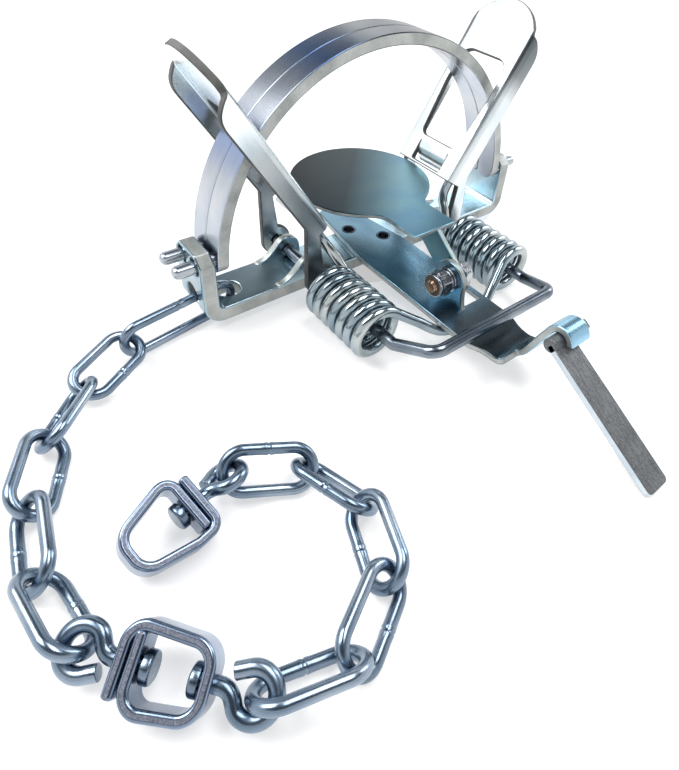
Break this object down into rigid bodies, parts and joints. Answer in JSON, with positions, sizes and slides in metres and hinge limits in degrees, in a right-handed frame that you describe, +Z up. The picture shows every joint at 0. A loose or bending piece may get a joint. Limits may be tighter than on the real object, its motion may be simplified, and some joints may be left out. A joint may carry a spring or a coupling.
{
  "type": "coil-spring foothold trap",
  "caption": "Sprung foothold trap of zinc-plated steel: two hoop jaws, slotted levers pushed up by coil springs, a round pan, a dog and a swivel chain.",
  "frame": {"origin": "middle of the base bar's flat underside", "axes": "+X along the base bar to the right lever, -Y towards the dog, +Z up from the ground"},
  "size_m": [0.2473, 0.1838, 0.1009],
  "materials": {
    "zinc": "bright blue-white zinc passivate with streaked reflections",
    "zinc_pale": "pale zinc on drawn wire and rivet heads",
    "zinc_slate": "darker slate-blue zinc on thin sheet",
    "zinc_bright": "bright plated fastener",
    "zinc_rough": "rough speckled cut strip under zinc",
    "chain_zinc": "blue zinc on welded chain wire",
    "spring_wire": "silver spring wire with warm highlights",
    "amber_nylon": "amber locking ring"
  },
  "bodies": {
    "frame": {"base_bar": "zinc", "cross_plate": "zinc", "rivet_1": "zinc_pale", "rivet_2": "zinc_pale", "spring_left": "spring_wire", "spring_right": "spring_wire", "spring_rod": "zinc_pale", "pan_bolt": "zinc_bright", "washer_flat": "zinc_bright", "washer_lock": "zinc_bright", "pan_nut": "zinc_bright", "nut_insert": "amber_nylon"},
    "jaw_front_body": {"jaw_front": "zinc"},
    "jaw_back_body": {"jaw_back": "zinc"},
    "lever_left_body": {"lever_left": "zinc"},
    "lever_right_body": {"lever_right": "zinc"},
    "pan_body": {"pan": "zinc_slate"},
    "dog_body": {"dog": "zinc_rough"},
    "anchor_ring_body": {"anchor_ring": "chain_zinc"},
    "chain_link_1_body": {"chain_link_1": "chain_zinc"},
    "chain_link_2_body": {"chain_link_2": "chain_zinc"},
    "chain_link_3_body": {"chain_link_3": "chain_zinc"},
    "chain_link_4_body": {"chain_link_4": "chain_zinc"},
    "chain_link_5_body": {"chain_link_5": "chain_zinc"},
    "swivel_eye_a_body": {"swivel_eye_a": "chain_zinc"},
    "box_swivel_body": {"box_swivel": "zinc_rough"},
    "swivel_eye_b_body": {"swivel_eye_b": "chain_zinc"},
    "chain_link_6_body": {"chain_link_6": "chain_zinc"},
    "chain_link_7_body": {"chain_link_7": "chain_zinc"},
    "chain_link_8_body": {"chain_link_8": "chain_zinc"},
    "chain_link_9_body": {"chain_link_9": "chain_zinc"},
    "chain_link_10_body": {"chain_link_10": "chain_zinc"},
    "swivel_eye_end_body": {"swivel_eye_end": "chain_zinc"},
    "end_loop_body": {"end_loop": "zinc_rough"}
  },
  "joints": [
    {"name": "jaw_front_hinge", "type": "hinge", "parent": "frame", "child": "jaw_front_body", "pos_m": [0, -0.005, 0.0245], "axis": [1, 0, 0], "range_deg": [0, 1.8]},
    {"name": "jaw_back_hinge", "type": "hinge", "parent": "frame", "child": "jaw_back_body", "pos_m": [0, 0.005, 0.0245], "axis": [1, 0, 0], "range_deg": [-1.8, 0]},
    {"name": "lever_left_hinge", "type": "hinge", "parent": "frame", "child": "lever_left_body", "pos_m": [-0.035, 0, 0.0086], "axis": [0, -1, 0], "range_deg": [0, 64], "stiffness_Nm_per_rad": 1.5, "springref_deg": -57.3, "deforming": ["spring_left"]},
    {"name": "lever_right_hinge", "type": "hinge", "parent": "frame", "child": "lever_right_body", "pos_m": [0.035, 0, 0.0086], "axis": [0, 1, 0], "range_deg": [0, 64], "stiffness_Nm_per_rad": 1.5, "springref_deg": -57.3, "deforming": ["spring_right"]},
    {"name": "pan_hinge", "type": "hinge", "parent": "frame", "child": "pan_body", "pos_m": [0.002, -0.0535, 0.018], "axis": [1, 0, 0], "range_deg": [-8, 0]},
    {"name": "dog_hinge", "type": "hinge", "parent": "frame", "child": "dog_body", "pos_m": [0, -0.10281, 0.02424], "axis": [1, 0, 0], "range_deg": [0, 50]},
    {"name": "ring_hinge", "type": "hinge", "parent": "frame", "child": "anchor_ring_body", "pos_m": [-0.066, 0, 0.00382], "axis": [0, 0, 1], "range_deg": [-16, 1]},
    {"name": "chain_link_1_hinge", "type": "hinge", "parent": "anchor_ring_body", "child": "chain_link_1_body", "pos_m": [-0.1065, -0.00641, 0.00382], "axis": [0, 0, 1], "range_deg": [-14, 0]},
    {"name": "chain_link_2_hinge", "type": "hinge", "parent": "chain_link_1_body", "child": "chain_link_2_body", "pos_m": [-0.12516, -0.01676, 0.00229], "axis": [0, 0, 1], "range_deg": [-14, 0]},
    {"name": "chain_link_3_hinge", "type": "hinge", "parent": "chain_link_2_body", "child": "chain_link_3_body", "pos_m": [-0.1403, -0.03189, 0.00229], "axis": [0, 0, 1], "range_deg": [-14, 0]},
    {"name": "chain_link_4_hinge", "type": "hinge", "parent": "chain_link_3_body", "child": "chain_link_4_body", "pos_m": [-0.15034, -0.05079, 0.00229], "axis": [0, 0, 1], "range_deg": [-14, 0]},
    {"name": "chain_link_5_hinge", "type": "hinge", "parent": "chain_link_4_body", "child": "chain_link_5_body", "pos_m": [-0.15406, -0.07186, 0.00229], "axis": [0, 0, 1], "range_deg": [-14, 0]},
    {"name": "eye_a_hinge", "type": "hinge", "parent": "chain_link_5_body", "child": "swivel_eye_a_body", "pos_m": [-0.15146, -0.093, 0.00443], "axis": [0, 0, 1], "range_deg": [-14, 0]},
    {"name": "box_swivel_turn", "type": "hinge", "parent": "swivel_eye_a_body", "child": "box_swivel_body", "pos_m": [-0.14459, -0.10119, 0.00443], "axis": [0.6428, -0.766, 0], "continuous": true},
    {"name": "eye_b_turn", "type": "hinge", "parent": "box_swivel_body", "child": "swivel_eye_b_body", "pos_m": [-0.13044, -0.11805, 0.00443], "axis": [0.6428, -0.766, 0], "continuous": true},
    {"name": "chain_link_6_hinge", "type": "hinge", "parent": "swivel_eye_b_body", "child": "chain_link_6_body", "pos_m": [-0.12357, -0.12624, 0.00443], "axis": [0, 0, 1], "range_deg": [-14, 0]},
    {"name": "chain_link_7_hinge", "type": "hinge", "parent": "chain_link_6_body", "child": "chain_link_7_body", "pos_m": [-0.10368, -0.13195, 0.00229], "axis": [0, 0, 1], "range_deg": [-14, 0]},
    {"name": "chain_link_8_hinge", "type": "hinge", "parent": "chain_link_7_body", "child": "chain_link_8_body", "pos_m": [-0.08549, -0.12186, 0.00229], "axis": [0, 0, 1], "range_deg": [-14, 0]},
    {"name": "chain_link_9_hinge", "type": "hinge", "parent": "chain_link_8_body", "child": "chain_link_9_body", "pos_m": [-0.07837, -0.10232, 0.00229], "axis": [0, 0, 1], "range_deg": [-14, 0]},
    {"name": "chain_link_10_hinge", "type": "hinge", "parent": "chain_link_9_body", "child": "chain_link_10_body", "pos_m": [-0.0848, -0.08253, 0.00229], "axis": [0, 0, 1], "range_deg": [-14, 0]},
    {"name": "eye_end_hinge", "type": "hinge", "parent": "chain_link_10_body", "child": "swivel_eye_end_body", "pos_m": [-0.10322, -0.07315, 0.0046], "axis": [0, 0, 1], "range_deg": [-14, 0]},
    {"name": "end_loop_turn", "type": "hinge", "parent": "swivel_eye_end_body", "child": "end_loop_body", "pos_m": [-0.1136, -0.07574, 0.0046], "axis": [-0.9703, -0.2419, 0], "continuous": true}
  ]
}
